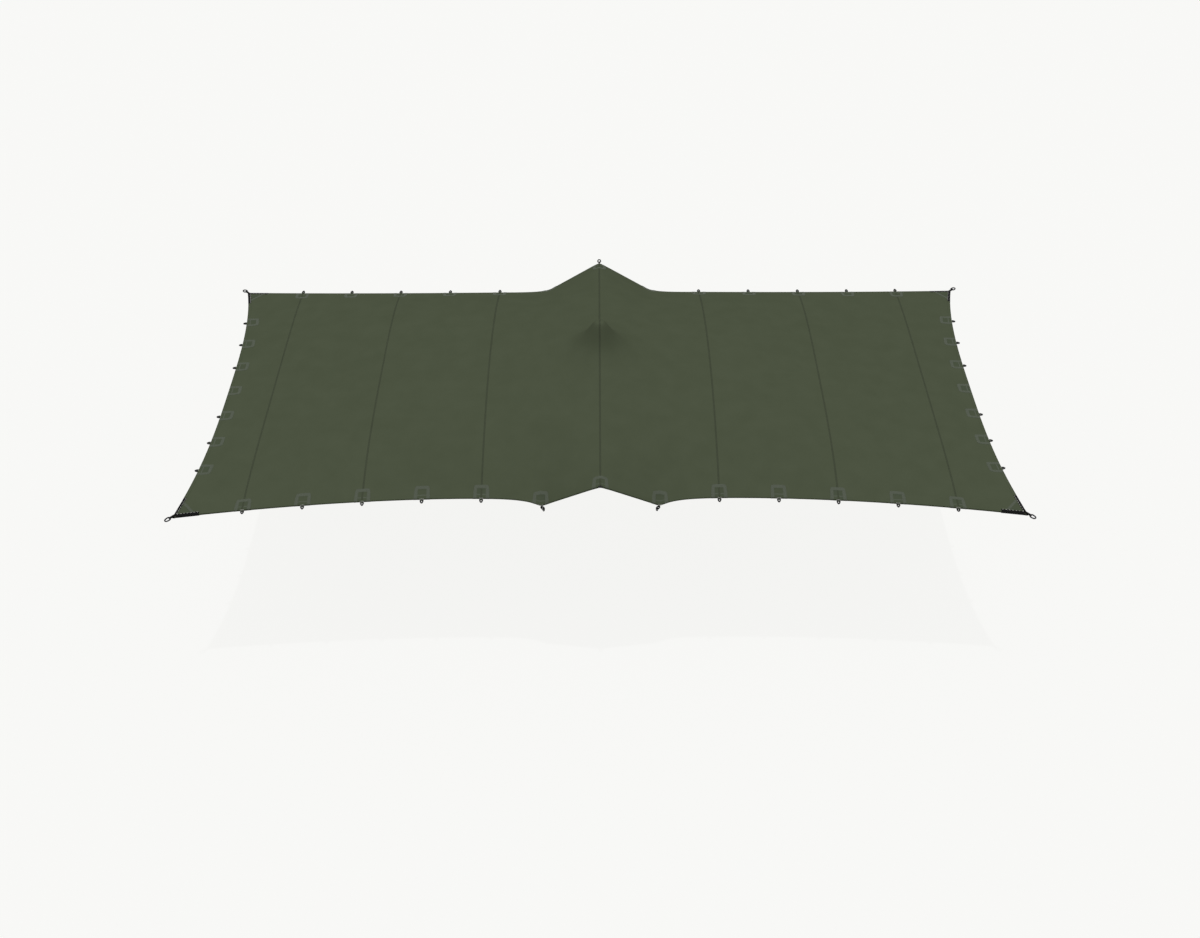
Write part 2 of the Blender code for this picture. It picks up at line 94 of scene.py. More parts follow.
def past(value, start, span):
    # how many spans a value lies past a start, and 0 before it
    return np.clip((value - start) / span, 0, None)


def smooth(low, high, value):
    # an S-shaped step from 0 to 1 between low and high
    t = np.clip((value - low) / (high - low), 0, 1)
    return t * t * (3 - 2 * t)


def unit(vectors):
    return vectors / np.linalg.norm(vectors, axis=-1, keepdims=True)


def longEdge(x):
    # distance of the long edge from the middle line: a shallow power curve, plus a straight-sided tip that
    # fades out past the first tab
    size = canopy
    x = np.abs(x)
    wing = past(x, size["waistX"], size["cornerX"] - size["waistX"]) ** size["waistPower"]
    tip = size["tipReach"] - size["tipTaper"] * np.minimum(x, size["tabStep"])
    fade = np.exp(-past(x, size["tabStep"], size["kinkFade"]))
    return size["waistY"] + (size["cornerY"] - size["waistY"]) * wing + tip * fade


def sideEdge(y):
    # distance of the short edge from the middle line: a cubic of the way from its middle to its corner
    return canopy["sideX"] + (canopy["cornerX"] - canopy["sideX"]) * np.abs(y / canopy["cornerY"]) ** 3


def clothHeight(x, y):
    # edge height plus a ridge that sinks outwards, plus two tents at the long edges' tips, plus a bell at
    # the peak, level over the pole's head
    size = canopy
    away = np.abs(x)
    t = np.abs(y) / longEdge(x)
    outer = past(away, size["flatEdgeX"], size["cornerX"] - size["flatEdgeX"])
    edge = size["edgeHeight"] - size["cornerDrop"] * outer ** size["dropPower"]
    bow = np.clip(1 - (away / size["sideX"]) ** size["ridgePower"], 0, None) ** size["ridgeBow"]
    rise = size["sideRise"] + size["middleRise"] * bow
    wide = past(away, size["squareFrom"], size["squareSpan"]) ** size["squarePower"]
    wing = edge + rise * (1 - t ** (2 + size["squareGain"] * wide))
    slope = size["tipRise"] / (np.hypot(size["tabStep"], size["tipRound"]) - size["tipRound"])
    flank = size["tipRise"] - slope * (np.hypot(x, size["tipRound"]) - size["tipRound"])
    soft = size["creaseSoft"] + size["creaseGain"] * np.clip(1 - t, 0, None)
    tent = soft * np.logaddexp(0, flank / soft)
    tip = tent * past(t, size["tipInner"], 1 - size["tipInner"]) ** size["tipPower"]
    share = np.minimum(away / size["tabStep"], 1)
    fade = np.exp(-past(away, size["tabStep"], size["dipFade"]))
    lift = size["tipLift"] * (1 - share) - size["dipDrop"] * share * fade
    tip = tip + lift * np.clip(t, 0, size["liftLimit"]) ** size["liftPower"]
    reach = past(np.hypot(x, y), size["peakFlat"], size["peakSpread"])
    bell = (size["peakHeight"] - peakRidge) / (1 + reach ** size["peakPower"])
    return np.where(reach <= 0, size["peakHeight"], wing + tip + bell)


def clothNormal(x, y, step=0.002):
    # upward unit normals from central differences of the height
    x, y = np.broadcast_arrays(np.asarray(x, float), np.asarray(y, float))
    across = (clothHeight(x + step, y) - clothHeight(x - step, y)) / (2 * step)
    along = (clothHeight(x, y + step) - clothHeight(x, y - step)) / (2 * step)
    return unit(np.stack([-across, -along, np.ones_like(x)], axis=-1))


def clothPoint(x, y, lift=0.0):
    # points of the cloth's middle layer, moved along its normal by lift
    x, y, lift = np.broadcast_arrays(np.asarray(x, float), np.asarray(y, float), np.asarray(lift, float))
    base = np.stack([x, y, clothHeight(x, y) - seatHeight], axis=-1)
    return base + clothNormal(x, y) * lift[..., None]


# Materials

def hexColour(code):
    # sRGB hex turned to linear light
    parts = [int(code[place:place + 2], 16) / 255 for place in (1, 3, 5)]
    return (*(c / 12.92 if c <= 0.04045 else ((c + 0.055) / 1.055) ** 2.4 for c in parts), 1.0)


def setInputs(tree, node, values):
    # each input gets a value, or a link from another node's output
    for key, value in values.items():
        if isinstance(value, bpy.types.NodeSocket):
            tree.links.new(value, node.inputs[key])
        else:
            node.inputs[key].default_value = value


def addNode(tree, kind, settings=None, values=None):
    # one node with its settings and the values or links of its inputs
    node = tree.nodes.new("ShaderNode" + kind)
    for key, value in (settings or {}).items():
        setattr(node, key, value)
    setInputs(tree, node, values or {})
    return node


def newMaterial(name):
    made = bpy.data.materials.new(name)
    made.use_nodes = True
    return made, made.node_tree, made.node_tree.nodes["Principled BSDF"]


def waveScale(mm):
    # a Wave texture repeats every 2 pi / 20 of its unit, so this gives one band for each mm millimetres
    return 2 * math.pi / (20 * mm / 1000)


def crossedWaves(tree, acrossMm, alongMm):
    # the product of two Wave textures, across and along the cloth
    uv = addNode(tree, "UVMap").outputs["UV"]
    factors = {}
    for place, (axis, mm) in enumerate((("X", acrossMm), ("Y", alongMm))):
        wave = addNode(tree, "TexWave", {"bands_direction": axis}, {"Vector": uv, "Scale": waveScale(mm)})
        factors[place] = wave.outputs["Fac"]
    return addNode(tree, "Math", {"operation": "MULTIPLY"}, factors).outputs[0]


clothLooks = {
    "colour": "#4E5543",      # olive green
    "shade": "#4B5240",       # the same cloth where the coat is thinner
    "roughness": 0.9,
    "loopMm": 3.0,            # knit loops are about 1.2 mm; drawn coarser so that they show at all
    "loopShare": 0.8,         # a loop's height over its width
    "loopDepthMm": 0.05,
    "cloudMm": 260,
    "grainMm": 14,
    "grainShare": 0.35,
    "shadeRange": (0.45, 0.9),
}


def knittedCloth(name, colour, shade):
    # Coated knitted polyester: the knit gives fine soft ribs, the coat a dull olive with slight clouding
    look = clothLooks
    made, tree, shader = newMaterial(name)
    place = addNode(tree, "TexCoord").outputs["Object"]
    knit = crossedWaves(tree, look["loopMm"], look["loopMm"] * look["loopShare"])
    cloud = addNode(tree, "TexNoise", {}, {"Vector": place, "Scale": 1000 / look["cloudMm"], "Detail": 3.0})
    grain = addNode(tree, "TexNoise", {}, {"Vector": place, "Scale": 1000 / look["grainMm"], "Detail": 2.0})
    both = addNode(tree, "Math", {"operation": "MULTIPLY_ADD"},
                   {0: grain.outputs["Fac"], 1: look["grainShare"], 2: cloud.outputs["Fac"]})
    low, high = look["shadeRange"]
    share = addNode(tree, "MapRange", {}, {"Value": both.outputs[0], "From Min": low, "From Max": high})
    tint = addNode(tree, "Mix", {"data_type": "RGBA"},
                   {0: share.outputs[0], 6: hexColour(shade), 7: hexColour(colour)})
    depth = look["loopDepthMm"] / 1000
    bump = addNode(tree, "Bump", {}, {"Strength": 0.5, "Distance": depth, "Height": knit})
    setInputs(tree, shader, {"Base Color": tint.outputs[2], "Roughness": look["roughness"],
                             "Specular IOR Level": 0.0, "Normal": bump.outputs["Normal"]})
    return made


webbingLooks = {
    "yarnShare": 0.75,      # yarn width over rib width; ribs of about 1 mm are drawn 2 to 3 mm wide to show
    "paintedHollowShade": 0.7,          # painted shade: brightness of the colour between the ribs, as if they lay in shade
    "depthMm": 0.3,
}


def wovenWebbing(name, colour, ribMm, roughness=0.7):
    # Woven polyester or cotton: tight cross ribs that catch a dull light, with painted shade darkening the
    # colour between them
    look = webbingLooks
    made, tree, shader = newMaterial(name)
    weave = crossedWaves(tree, ribMm, ribMm * look["yarnShare"])
    full = hexColour(colour)
    # painted shade: a darker copy of the colour for the hollows between the ribs, mixed in by the weave
    low = (*(c * look["paintedHollowShade"] for c in full[:3]), 1.0)
    tint = addNode(tree, "Mix", {"data_type": "RGBA"}, {0: weave, 6: low, 7: full})
    bump = addNode(tree, "Bump", {}, {"Strength": 0.6, "Distance": look["depthMm"] / 1000, "Height": weave})
    setInputs(tree, shader, {"Base Color": tint.outputs[2], "Roughness": roughness,
                             "Specular IOR Level": 0.08, "Normal": bump.outputs["Normal"]})
    return made


def sewingThread(name, colour):
    # Bonded polyester thread: twisted plies with a slight gloss
    made, tree, shader = newMaterial(name)
    place = addNode(tree, "TexCoord").outputs["Object"]
    twist = addNode(tree, "TexNoise", {}, {"Vector": place, "Scale": 900.0, "Detail": 1.0})   # 1.1 mm
    share = addNode(tree, "MapRange", {}, {"Value": twist.outputs["Fac"], "To Min": 0.8, "To Max": 1.0})
    tint = addNode(tree, "Mix", {"data_type": "RGBA", "blend_type": "MULTIPLY"},
                   {0: 1.0, 6: hexColour(colour), 7: share.outputs[0]})
    setInputs(tree, shader, {"Base Color": tint.outputs[2], "Roughness": 0.7, "Specular IOR Level": 0.1})
    return made


def steel(name, colour, roughness, metallic, smearMm=8.0):
    # Steel bar: black paint is dull and even; polished stainless has soft smears, and is drawn dark because
    # the links look nearly black from afar
    made, tree, shader = newMaterial(name)
    place = addNode(tree, "TexCoord").outputs["Object"]
    smear = addNode(tree, "TexNoise", {}, {"Vector": place, "Scale": 1000 / smearMm, "Detail": 4.0})
    rough = addNode(tree, "MapRange", {}, {"Value": smear.outputs["Fac"], "To Min": roughness * 0.75,
                                           "To Max": roughness * 1.3})
    setInputs(tree, shader, {"Base Color": hexColour(colour), "Metallic": metallic,
                             "Roughness": rough.outputs[0], "Specular IOR Level": 0.5 if metallic else 0.2})
    return made


canopyCloth = knittedCloth("coatedKnitCloth", clothLooks["colour"], clothLooks["shade"])
seamCloth = knittedCloth("lappedSeamCloth", "#444A3B", "#424839")
hemCloth = knittedCloth("foldedHemCloth", clothLooks["colour"], clothLooks["shade"])
patchCloth = knittedCloth("patchCloth", "#4B5240", "#485041")
bandWebbing = wovenWebbing("olivePatchWebbing", "#5A6153", 2.4)
blackWebbing = wovenWebbing("blackPolyesterWebbing", "#0C0C0D", 2.6)
oliveThread = sewingThread("olivePolyesterThread", "#565D4B")
paleThread = sewingThread("palePolyesterThread", "#E8E8E2")
blackSteel = steel("blackPaintedSteel", "#0E0E0F", 0.5, 0.0)
brightSteel = steel("polishedStainlessSteel", "#2E3032", 0.28, 1.0)
padCotton = wovenWebbing("heavyCottonPad", "#2B2E27", 3.0, 0.8)
print("materials made:", len(bpy.data.materials))


# Mesh tools

def gridQuads(rows, columns, wrapColumns=False):
    row = np.arange(rows - 1)[:, None]
    column = np.arange(columns if wrapColumns else columns - 1)[None, :]
    here, after = row * columns + column, row * columns + (column + 1) % columns
    return np.stack([here, here + columns, after + columns, after], axis=-1).reshape(-1, 4)


def grid(points, uv, wrapColumns=False):
    # one grid body: its points, faces and UV places in metres
    rows, columns = points.shape[:2]
    return points.reshape(-1, 3), gridQuads(rows, columns, wrapColumns), uv.reshape(-1, 2)


def joined(bodies):
    # the points and faces of several bodies as one
    starts = np.cumsum([0] + [len(body[0]) for body in bodies[:-1]])
    faces = [body[1] + start for body, start in zip(bodies, starts)]
    return np.concatenate([body[0] for body in bodies]), np.concatenate(faces)


def addPiece(name, mesh, material, replaced=()):
    # a mesh as one smooth visible piece of the part
    mesh.materials.append(material)
    mesh.shade_smooth()
    piece = bpy.data.objects.new(name, mesh)
    bpy.context.scene.collection.objects.link(piece)
    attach(piece, "root")
    if replaced:
        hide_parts(*replaced)
    return piece


def makePiece(name, bodies, material, replaced=(), closed=True):
    # joins grid bodies in one mesh; a closed one has its doubles merged and its faces turned outwards
    points, faces = joined(bodies)
    places = np.concatenate([body[2] for body in bodies])
    mesh = bpy.data.meshes.new(name)
    mesh.from_pydata(points.tolist(), [], faces.tolist())
    corner = np.empty(len(mesh.loops), np.int32)
    mesh.loops.foreach_get("vertex_index", corner)
    mesh.uv_layers.new(name="cloth").data.foreach_set("uv", places[corner].astype(np.float32).ravel())
    if closed:
        shape = bmesh.new()
        shape.from_mesh(mesh)
        bmesh.ops.remove_doubles(shape, verts=shape.verts, dist=1e-6)
        bmesh.ops.recalc_face_normals(shape, faces=shape.faces)
        shape.to_mesh(mesh)
        shape.free()
    return addPiece(name, mesh, material, replaced)


def rodPiece(name, rods, material):
    # stitches in one mesh; the triangles at their ends come as quads with a double corner
    points, faces = joined(rods)
    mesh = bpy.data.meshes.new(name)
    mesh.from_pydata(points.tolist(), [], [f[:3] if f[2] == f[3] else f for f in faces.tolist()])
    return addPiece(name, mesh, material)


def lengthTo(path):
    # distance along a path up to each of its points
    return np.concatenate([[0], np.cumsum(np.linalg.norm(np.diff(path, axis=0), axis=1))])


def everyPair(first, second):
    # a grid of all pairs of two rows of numbers
    return np.stack(np.broadcast_arrays(first[:, None], second[None, :]), axis=-1)


def cappedTube(rings, along, around):
    # a tube whose two ends are closed by a ring shrunk to its middle; along and around are its UV distances
    first, last = (np.broadcast_to(ring.mean(axis=0), (1, *ring.shape)) for ring in (rings[0], rings[-1]))
    along = np.concatenate([along[:1], along, along[-1:]])
    return grid(np.concatenate([first, rings, last]), everyPair(along, around), wrapColumns=True)


def band(x, y, side, profile, rise=0.0):
    # a profile carried along a plan path on the cloth; side is the plan direction of the profile's first
    # number, and rise lifts its upper half
    across, lift = profile[:, 0], profile[:, 1] + np.reshape(rise, (-1, 1)) * (profile[:, 1] > 0)
    rings = clothPoint(x[:, None] + side[:, :1] * across, y[:, None] + side[:, 1:] * across, lift)
    return cappedTube(rings, lengthTo(np.stack([x, y], axis=1)), lengthTo(profile))


def ringTube(path, radius, seat):
    # a round bar along a closed flat path of (u, v) points in a seat's own plane
    ahead = unit(np.roll(path, -1, axis=0) - np.roll(path, 1, axis=0))
    side = np.stack([ahead[:, 1], -ahead[:, 0]], axis=1)
    turn = np.arange(ringLooks["sides"]) * 2 * math.pi / ringLooks["sides"]
    flat = path[:, None] + side[:, None] * (radius * np.cos(turn))[None, :, None]
    points = seatPoints(seat, flat[..., 0], flat[..., 1], radius * np.sin(turn))
    points = np.concatenate([points, points[:1]])
    uv = everyPair(lengthTo(np.concatenate([path, path[:1]])), turn * radius)
    return grid(points, uv, wrapColumns=True)


def roundedPath(corners, rounds=3):
    # corner cutting: each pass puts two points on every side, a quarter in from its ends
    path = np.asarray(corners, float)
    for _ in range(rounds):
        after = np.roll(path, -1, axis=0)
        path = np.stack([0.75 * path + 0.25 * after, 0.25 * path + 0.75 * after], axis=1).reshape(-1, 2)
    return path


def evenly(path, pitch):
    # points at equal steps along a path, with the direction of the path there
    length = lengthTo(path)
    count = max(int(length[-1] / pitch), 1)
    at = (np.arange(count) + 0.5) * length[-1] / count

    def read(where):
        return np.stack([np.interp(where, length, path[:, axis]) for axis in range(path.shape[1])], axis=1)
    ahead, behind = np.clip(at + pitch / 4, 0, length[-1]), np.clip(at - pitch / 4, 0, length[-1])
    return read(at), read(ahead) - read(behind)


def stitches(centres, along, up, length, width, height):
    # each stitch is a short three-sided bar with pointed ends, lying along its row
    along = unit(along)
    up = unit(up - along * np.sum(up * along, axis=1, keepdims=True))
    side = np.cross(along, up)
    shape = np.array([
        (-0.5, 0, 0.1), (-0.34, -0.5, 0), (-0.34, 0.5, 0), (-0.34, 0, 1),
        (0.34, -0.5, 0), (0.34, 0.5, 0), (0.34, 0, 1), (0.5, 0, 0.1),
    ]) * (length, width, height)
    points = (centres[:, None] + along[:, None] * shape[None, :, :1] + side[:, None] * shape[None, :, 1:2]
              + up[:, None] * shape[None, :, 2:])
    faces = np.array([
        (0, 1, 2, 2), (0, 3, 1, 1), (0, 2, 3, 3), (1, 3, 6, 4), (3, 2, 5, 6), (2, 1, 4, 5),
        (7, 5, 4, 4), (7, 4, 6, 6), (7, 6, 5, 5),
    ])
    every = faces[None] + (np.arange(len(centres)) * len(shape))[:, None, None]
    return points.reshape(-1, 3), every.reshape(-1, 4)


def rowStitches(x, y, lift, look, flip=False):
    # a row of stitches along a plan path on the cloth, on its top side or its underside
    centres, along = evenly(clothPoint(x, y, lift), look["pitch"])
    up = clothNormal(centres[:, 0], centres[:, 1]) * (-1 if flip else 1)
    return stitches(centres, along, up, look["length"], look["width"], look["height"])


# Edges, tabs and seats. A seat is a frame on an edge, with u along it, v outwards and w up.

longSides = ("front", "back")
outwards = {"front": -1, "back": 1, "left": -1, "right": 1}   # sign of y or x on each edge
longTabs = [canopy["tabStep"] * number for number in range(-6, 7)]
sideTabs = [canopy["sideStep"] * number for number in range(-3, 4)]
tabs = {"front": longTabs, "back": longTabs, "left": sideTabs, "right": sideTabs}
# signs of x and y at each corner
corners = {"front_left": (-1, -1), "front_right": (1, -1), "back_left": (-1, 1), "back_right": (1, 1)}


def makeSeat(origin, along, out):
    v = unit(np.asarray(out, float))
    u = unit(along - v * np.dot(along, v))
    return {"origin": np.asarray(origin, float), "u": u, "v": v, "w": np.cross(u, v)}


def seatPoints(seat, u, v, w):
    # points at distances along a seat's three directions
    u, v, w = np.broadcast_arrays(u, v, w)
    return seat["origin"] + u[..., None] * seat["u"] + v[..., None] * seat["v"] + w[..., None] * seat["w"]


def moved(seat, v):
    return {**seat, "origin": seat["origin"] + seat["v"] * v}


def edgeSeat(side, place, step=0.01):
    # place is x on a long edge and y on a short one
    sign = outwards[side]
    near = np.array([place - step, place, place + step])
    if side in longSides:
        x, y, turn = near, sign * longEdge(near), sign
    else:
        x, y, turn = sign * sideEdge(near), near, -sign
    points = clothPoint(x, y)
    along = (points[2] - points[0]) * turn
    return makeSeat(points[1], along, np.cross(clothNormal(x[1], y[1]), along))


def stations(limit, spacing):
    # places from -limit to limit whose steps follow a spacing function
    fine = np.linspace(0, limit, 4000)
    count = np.concatenate([[0], np.cumsum(np.diff(fine) / spacing((fine[1:] + fine[:-1]) / 2))])
    half = np.interp(np.linspace(0, count[-1], math.ceil(count[-1]) + 1), count, fine)
    return np.concatenate([-half[:0:-1], half])


def widening(fine, coarse, start, stop):
    # a spacing function: fine steps up to start, coarse ones from stop
    return lambda at: fine + (coarse - fine) * smooth(start, stop, at)


# Canopy sheet

sheetLooks = {
    "thickness": 0.001,
    "fineStep": 0.011,      # grid step over the peak
    "coarseX": 0.062,
    "coarseY": 0.042,
    "fineReach": 0.36,
    "coarseReach": 1.3,
    "pullPower": 6,         # how fast the short edges' curve dies out inwards in the grid
    "flat": (5.03, 10.58),  # width and length of the cut
    "flatArea": 49.6,
}


def makeSheet():
    # x and y follow the two edge curves; the height is clothHeight, so the whole canopy is one smooth skin
    look = sheetLooks
    halfX, halfY, fine = canopy["cornerX"], canopy["cornerY"], look["fineStep"]
    reaches = look["fineReach"], look["coarseReach"]
    straight = stations(halfX, widening(fine, look["coarseX"], *reaches))[:, None]
    across = stations(halfY, widening(fine, look["coarseY"], *reaches))
    pull = (halfX - sideEdge(across)) * (np.abs(straight) / halfX) ** look["pullPower"]
    x = straight - np.sign(straight) * pull
    y = across / halfY * longEdge(x)
    points = clothPoint(x, y)
    along = np.zeros(x.shape)
    along[:, 1:] = np.cumsum(np.linalg.norm(np.diff(points, axis=1), axis=2), axis=1)
    uv = np.stack([x, along - along[:, [x.shape[1] // 2]]], axis=-1)
    panels = [f"panel_{number}" for number in range(1, 9)]
    sheet = makePiece("canopy_sheet", [grid(points, uv)], canopyCloth, panels, closed=False)
    wall = sheet.modifiers.new("cloth thickness", "SOLIDIFY")
    wall.thickness, wall.offset = look["thickness"], 0.0
    return sheet


sheet = makeSheet()
print("canopy sheet:", len(sheet.data.polygons), "faces")


# Folded hems

hemLooks = {
    "width": 0.042,
    "half": 0.0021,
    "bead": 0.0155,           # radius of the cloth rolled in the fold
    "beadLift": -0.0130,      # height of its middle beside the cloth's middle layer
    "row": 0.0335,            # stitch row, from the outer edge
    "grooveWidth": 0.0018,
    "grooveDepth": 0.0006,
    "mitre": 0.24,            # sideways slant of the long hems' ends
    "mitreRun": 0.09,
    "endGap": 0.0005,         # between the short hems' ends and the corners
    "steps": (0.012, 0.042, 0.5, 1.2),   # fine and coarse grid step of the long hems, and where they change
    "shortStep": 0.03,
    "stitch": {"pitch": 0.018, "length": 0.012, "width": 0.0016, "height": 0.0008, "sink": 0.0008},
}


def beadArc(radius, start, stop, count):
    # distances inwards from the outer edge, and lifts, on a circle about the bead's middle; start and stop
    # are degrees from outwards up
    turn = np.radians(np.linspace(start, stop, count))
    depth = hemLooks["bead"] - radius * np.cos(turn)
    return np.stack([depth, hemLooks["beadLift"] + radius * np.sin(turn)], axis=1)


def hemProfile():
    # a flat fold on both sides of the cloth that ends in a round bead hanging under the edge
    look = hemLooks
    inner = np.array([0, 0.0004, 0.001, 0.004, 0.0065, 0.0085, 0.0105, 0.0125, 0.0155])
    depth = look["width"] - inner
    groove = look["grooveDepth"] * np.exp(-((depth - look["row"]) / look["grooveWidth"]) ** 2)
    thick = look["half"] * np.sqrt(np.clip(inner / 0.001, 0, 1)) - groove
    flat = np.stack([depth, thick], axis=1)
    outline = np.concatenate([flat, beadArc(look["bead"], 112, -205, 22), (flat * (1, -1))[:0:-1]])
    return outline * (-1, 1)


def hemPath(side):
    # plan path of an edge, with the plan direction across it
    look, sign, end = hemLooks, outwards[side], canopy["cornerX"]
    if side in longSides:
        x = stations(end, widening(*look["steps"]))
        slant = look["mitre"] * np.sign(x) * smooth(end - look["mitreRun"], end, np.abs(x))
        return x, sign * longEdge(x), np.stack([slant, np.full_like(x, sign)], axis=1)
    y = stations(canopy["cornerY"] - look["endGap"], lambda at: np.full_like(at, look["shortStep"]))
    return sign * sideEdge(y), y, np.tile([float(sign), 0.0], (len(y), 1))


def makeHems():
    look = hemLooks
    rods = []
    for side in tabs:
        x, y, across = hemPath(side)
        parts = ("_left", "_middle", "_right") if side in longSides else ("",)
        makePiece(f"{side}_folded_hem", [band(x, y, across, hemProfile())], hemCloth,
                  [f"hem_{side}{part}" for part in parts])
        inside = np.stack([x, y]) - across.T * look["row"]
        for flip in (False, True):
            lift = (look["half"] - look["stitch"]["sink"]) * (-1 if flip else 1)
            rods.append(rowStitches(*inside, lift, look["stitch"], flip))
    return rodPiece("hem_stitches", rods, oliveThread)


hemStitches = makeHems()
print("hems and their stitches:", len(hemStitches.data.polygons), "faces")


# Tab patches: a second layer of cloth folded round the hem, with a raised webbing band on three sides

patchLooks = {
    "halfWidth": 0.103,
    "depth": 0.178,
    "taper": 0.92,          # width at the inner end, as a share of that at the edge
    "cornerCut": (0.09, 0.07),      # shares by which the inner corners are drawn in, across and inwards
    "bandWidth": 0.046,
    "crossBand": (0.0435, 0.0575),  # a thin strip of the same webbing across the patch beside the fold
    "kinkReach": 1.1,       # patches nearer the middle than this sit on a kink of the edge
    "towardTip": 0.42,      # their inner side slopes this much towards the tip
    "base": 0.0013,         # lifts above the cloth's middle layer
    "bandRise": 0.0022,
    "clear": 0.0014,        # thickness over the bead
    "foldEnd": (0.041, 0.052),      # the hem's fold ends under the patch between these depths
    "crestRun": 0.028,      # the patch comes down from the bead over this depth
    "rows": (0.006, 0.040),
    "rowDip": 0.22,         # depth of the dip along a row, as a share of the band's rise
    "rowWidth": 0.0025,
    "stitch": {"pitch": 0.012, "length": 0.0085, "width": 0.0017, "height": 0.0009, "sink": 0.0002},
}


def patchPlan(side, tab, across, depth):
    # across runs along the edge from the tab's middle, depth runs inwards from the edge
    look = patchLooks
    narrow = 1 - (1 - look["taper"]) * depth / look["depth"]
    corner = (np.abs(across) / look["halfWidth"]) ** 6 * (depth / look["depth"]) ** 6
    along = across * narrow * (1 - look["cornerCut"][0] * corner)
    inwards = depth * (1 - look["cornerCut"][1] * corner)
    place = tab + along
    if side not in longSides:
        return outwards[side] * (sideEdge(place) - inwards), place
    edge = longEdge(place)
    if abs(tab) < look["kinkReach"]:
        # the patch's inner side follows a line that bends less than the edge
        line = longEdge(tab) + look["towardTip"] * np.clip(-np.sign(tab) * along, 0, None)
        edge = edge + (line - edge) * smooth(0.03, 0.1, depth)
    return place, outwards[side] * (edge - inwards)


def bandStrip(inside, width, edge=0.003):
    # 1 on a band beside a border, by distance from it, and 0 elsewhere, with soft sides
    return smooth(-0.0005, edge, inside) * (1 - smooth(width - edge, width, inside))


def patchRise(across, depth):
    # the base layer, raised over the fold, and a band along three sides by distance from the border
    look = patchLooks
    inside = np.minimum(look["halfWidth"] - np.abs(across), look["depth"] - depth)
    strip = bandStrip(inside, look["bandWidth"])
    for row in look["rows"]:
        strip = strip - look["rowDip"] * np.exp(-((inside - row) / look["rowWidth"]) ** 2)
    over = (hemLooks["half"] - 0.0002) * (1 - smooth(*look["foldEnd"], depth))
    return look["base"] + over + look["bandRise"] * strip


def patchLift(across, depth, below=False):
    # top and underside lifts: flat on the cloth, and a circle round the bead at the edge
    middle, radius = hemLooks["bead"], hemLooks["bead"] + patchLooks["clear"]
    arc = np.sqrt(np.clip(radius ** 2 - (depth - middle) ** 2, 0, None))
    rise = patchRise(across, depth)
    if below:
        return np.minimum(np.where(np.abs(depth - middle) < radius, hemLooks["beadLift"] - arc, 0), -rise)
    strip = rise - patchRise(0.0, 0.02)
    crest = hemLooks["beadLift"] + radius
    down = (crest - 0.002) * smooth(middle, middle + patchLooks["crestRun"], depth)
    flat = np.maximum(rise, crest + strip * 0.5 - down)
    return np.where(depth < middle, hemLooks["beadLift"] + arc + strip, flat)


def patchGrids(side, tab):
    # matching grids of the top and the underside, so the patch is one slab folded round the hem
    look = patchLooks
    border = np.array([0, 0.0012, 0.003, 0.006, 0.009, 0.016, 0.025, 0.032, 0.037, 0.040, 0.043, 0.046])
    half = np.concatenate([look["halfWidth"] - border, [0.045, 0.03, 0.015]])
    across = np.concatenate([-half, [0], half[::-1]])
    turn = np.radians([0, 18, 36, 54, 72, 90, 112, 136, 160, 180])
    edge = hemLooks["bead"] - (hemLooks["bead"] + look["clear"]) * np.cos(turn)
    low, high = look["crossBand"]
    deep = [edge, [0.036, 0.0405, low, 0.050, high, 0.065, 0.080, 0.1], look["depth"] - border[::-1]]
    a, d = np.meshgrid(across, np.concatenate(deep), indexing="ij")
    x, y = patchPlan(side, tab, a, d)
    top, under = (clothPoint(x, y, patchLift(a, d, below)) for below in (False, True))
    return top, under, np.stack([a, d], axis=-1)


def slabBody(top, low, uv):
    # a closed slab from two matching grids of points, with a wall round their border
    rows, columns = top.shape[:2]
    size = rows * columns
    upper = gridQuads(rows, columns)
    number = np.arange(size).reshape(rows, columns)
    edge = np.concatenate([number[:, 0], number[-1, 1:], number[-2::-1, -1], number[0, -2:0:-1]])
    after = np.roll(edge, -1)
    wall = np.stack([edge, after, after + size, edge + size], axis=1)
    points = np.concatenate([top, low]).reshape(-1, 3)
    faces = np.concatenate([upper, upper[:, ::-1] + size, wall])
    return points, faces, np.concatenate([uv, uv]).reshape(-1, 2)


def patchRow(side, tab, inset, below):
    # one stitch row round the three sewn sides of a patch
    look = patchLooks
    half, top, start, cut = look["halfWidth"] - inset, look["depth"] - inset, 0.016, 0.012
    outline = np.array([[-half, start], [-half, top - cut], [-half + cut, top],
                        [half - cut, top], [half, top - cut], [half, start]])
    fine, _ = evenly(outline, 0.004)
    across, depth = fine.T
    lift = patchLift(across, depth, below) + look["stitch"]["sink"] * (1 if below else -1)
    return rowStitches(*patchPlan(side, tab, across, depth), lift, look["stitch"], below)


tackLooks = {
    "width": 0.052,
    "angles": (56, 32, 8),   # start, middle and end of the strands round the bead, in degrees
    "rise": 0.0018,
    "strands": 12,
}


def tackStitches(side, tab):
    # the dense pale bar of stitches on the bead that holds a tab's loop, drawn as parallel thick strands
    look = tackLooks
    strand = look["width"] / look["strands"]
    across = (np.arange(look["strands"]) + 0.5) * strand - look["width"] / 2
    spots = []
    for angle in look["angles"]:
        depth, lift = beadArc(hemLooks["bead"] + patchLooks["clear"] + 0.0004, angle, angle, 1)[0]
        spots.append(clothPoint(*patchPlan(side, tab, across, np.full_like(across, depth)), lift))
    along = spots[2] - spots[0]
    out = spots[1] - (spots[0] + spots[2]) / 2
    length = np.linalg.norm(along, axis=1).mean()
    return stitches(spots[1], along, out, length, strand * 1.05, look["rise"])


